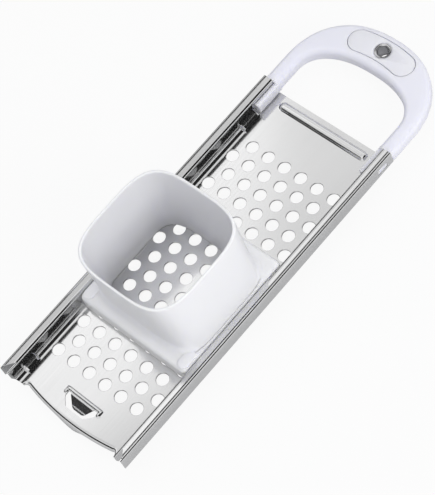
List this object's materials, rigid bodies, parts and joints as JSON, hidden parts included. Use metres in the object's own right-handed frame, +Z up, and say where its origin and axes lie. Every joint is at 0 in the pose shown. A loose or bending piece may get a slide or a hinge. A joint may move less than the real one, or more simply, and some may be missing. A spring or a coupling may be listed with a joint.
{
  "type": "spaetzle maker",
  "caption": "Spaetzle maker: a perforated steel tray with folded rails, a sliding batter hopper and a bow handle with a hanging eyelet.",
  "frame": {"origin": "middle of the whole width and length, on the level of the lowest point, the tip of the tray's front tongue", "axes": "+X across the tray, +Y along it from the front lip towards the handle, +Z up out of the plate towards the hopper's rim"},
  "size_m": [0.1006, 0.304, 0.0718],
  "materials": {
    "sheet_steel": "bright rolled stainless sheet, satin along its length",
    "hopper_plastic": "smooth moulded plastic, cool white, semi-gloss",
    "handle_plastic": "smooth moulded plastic, cool white, soft gloss",
    "inlay_plastic": "smooth plastic cap with a bright edge line",
    "eyelet_metal": "polished steel"
  },
  "bodies": {
    "tray_body": {"tray": "sheet_steel", "handle": "handle_plastic", "handle_inlay": "inlay_plastic", "hanging_eyelet": "eyelet_metal", "eyelet_washer": "eyelet_metal"},
    "hopper_body": {"hopper": "hopper_plastic"}
  },
  "joints": [
    {"name": "hopper_slide", "type": "slide", "parent": "tray_body", "child": "hopper_body", "axis": [0, 1, 0], "range_m": [-0.0405, 0.0575]}
  ]
}
